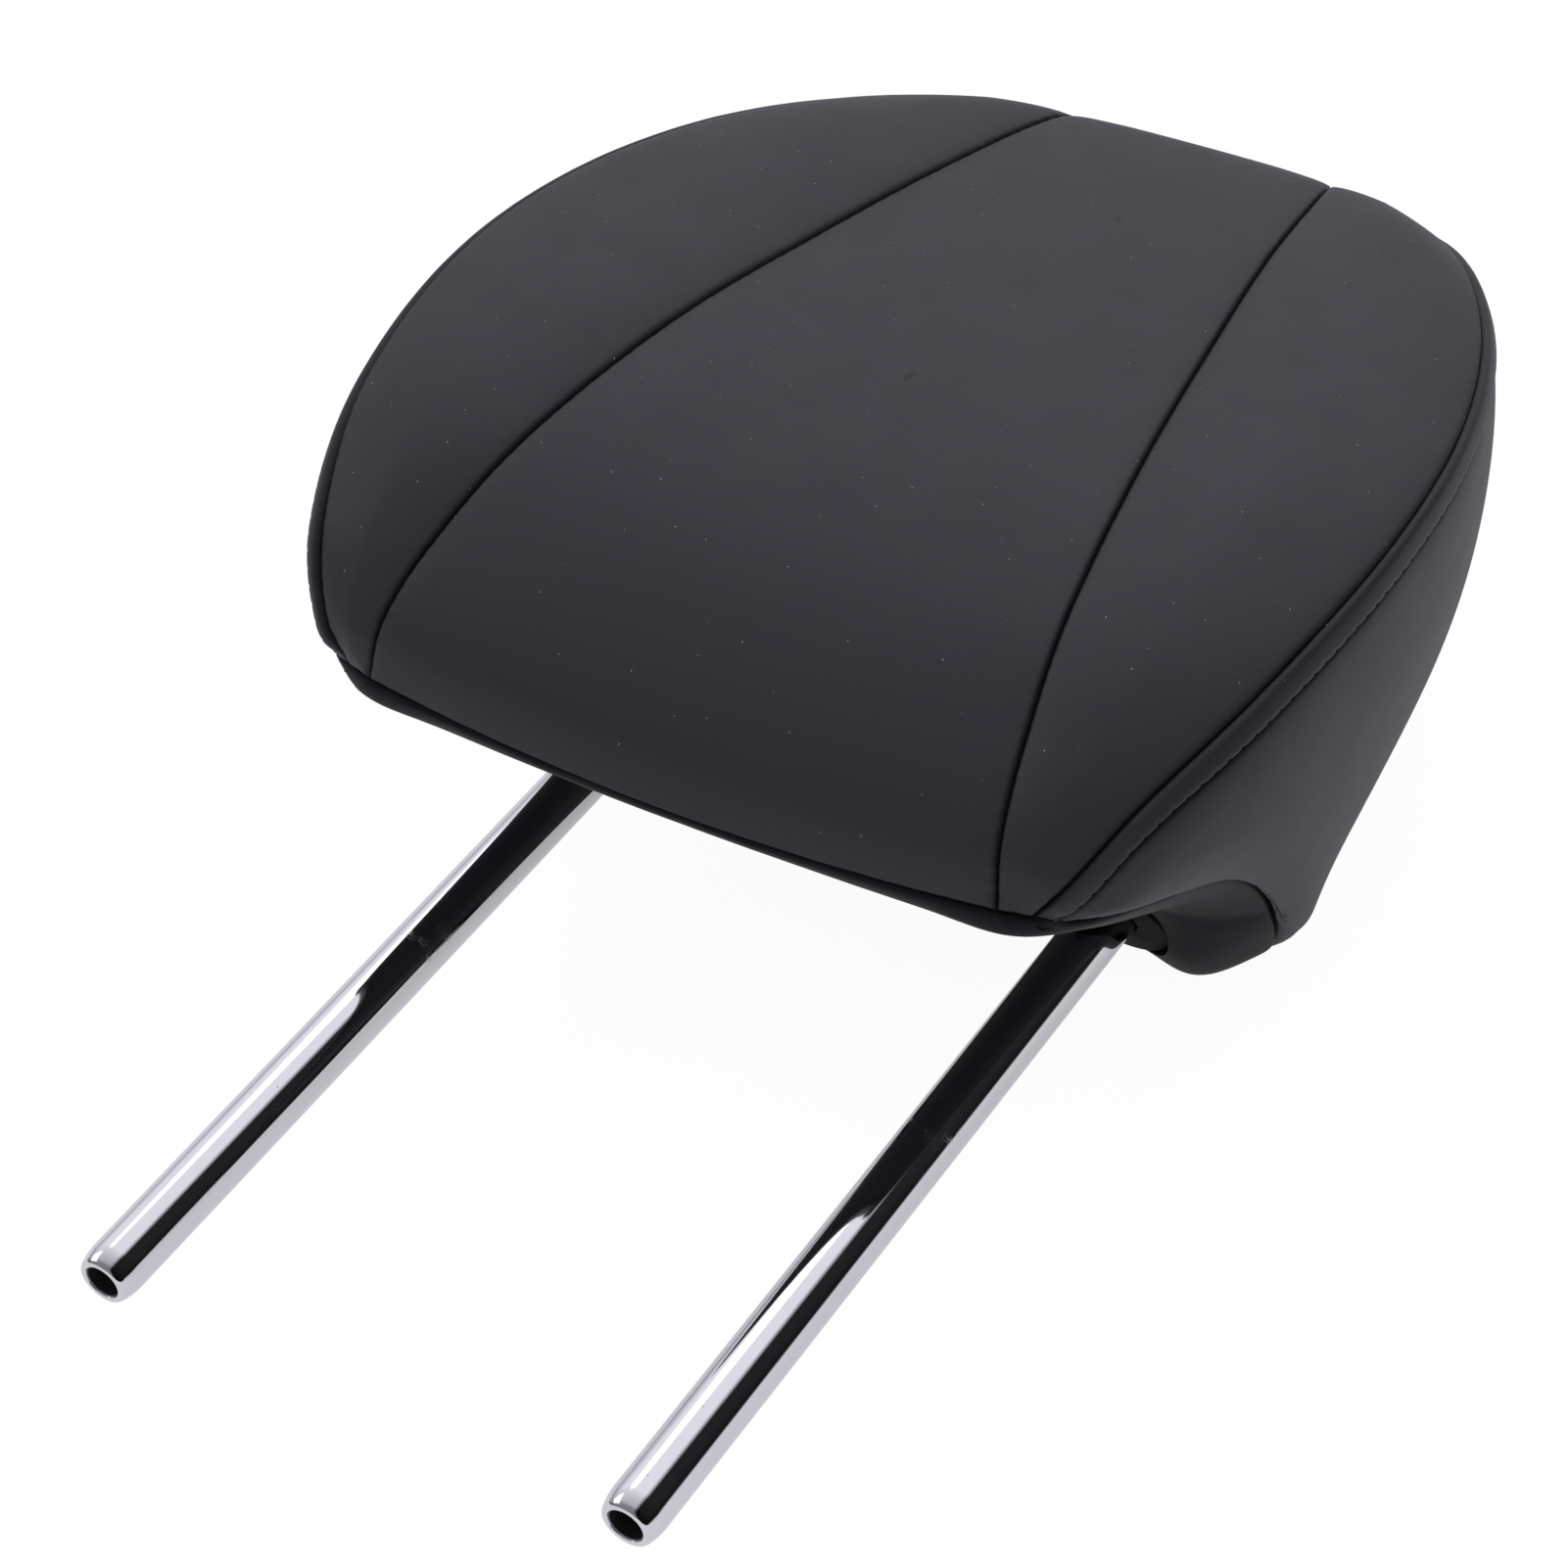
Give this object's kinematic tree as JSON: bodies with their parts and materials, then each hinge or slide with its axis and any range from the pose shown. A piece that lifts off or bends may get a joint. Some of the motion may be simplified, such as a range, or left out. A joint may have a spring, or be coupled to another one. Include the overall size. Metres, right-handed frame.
{
  "type": "car headrest",
  "caption": "Vehicle seat headrest: leather covered foam cushion with seamed panels and a flat welt, on chromed tubular posts with trim collars at its underside.",
  "frame": {"origin": "Centre of the bounding box in X and Y, at the height of the flat back on which the headrest lies", "axes": "+X across the cushion to its right as seen from the front, +Y from the open ends of the posts to the top of the cushion, +Z from the back to the front face that meets the head"},
  "size_m": [0.2332, 0.362, 0.1285],
  "materials": {
    "cover_leather": "smooth fine grain, satin",
    "cushion_foam": "moulded foam",
    "post_chrome": "polished, light scuffs",
    "black_plastic": "moulded satin",
    "bare_steel": "pressed sheet",
    "zinc_steel": "zinc plated"
  },
  "bodies": {
    "root": {"front_center_panel": "cover_leather", "front_left_panel": "cover_leather", "front_right_panel": "cover_leather", "welt_strip": "cover_leather", "left_side_gusset": "cover_leather", "right_side_gusset": "cover_leather", "underside_panel": "cover_leather", "back_panel": "cover_leather", "foam_core": "cushion_foam", "left_post": "post_chrome", "right_post": "post_chrome", "left_collar": "black_plastic", "right_collar": "black_plastic", "carrier_front_half": "black_plastic", "carrier_rear_half": "black_plastic", "cross_plate": "bare_steel", "carrier_screw_1": "zinc_steel", "carrier_screw_2": "zinc_steel", "carrier_screw_3": "zinc_steel", "carrier_screw_4": "zinc_steel"}
  },
  "joints": []
}
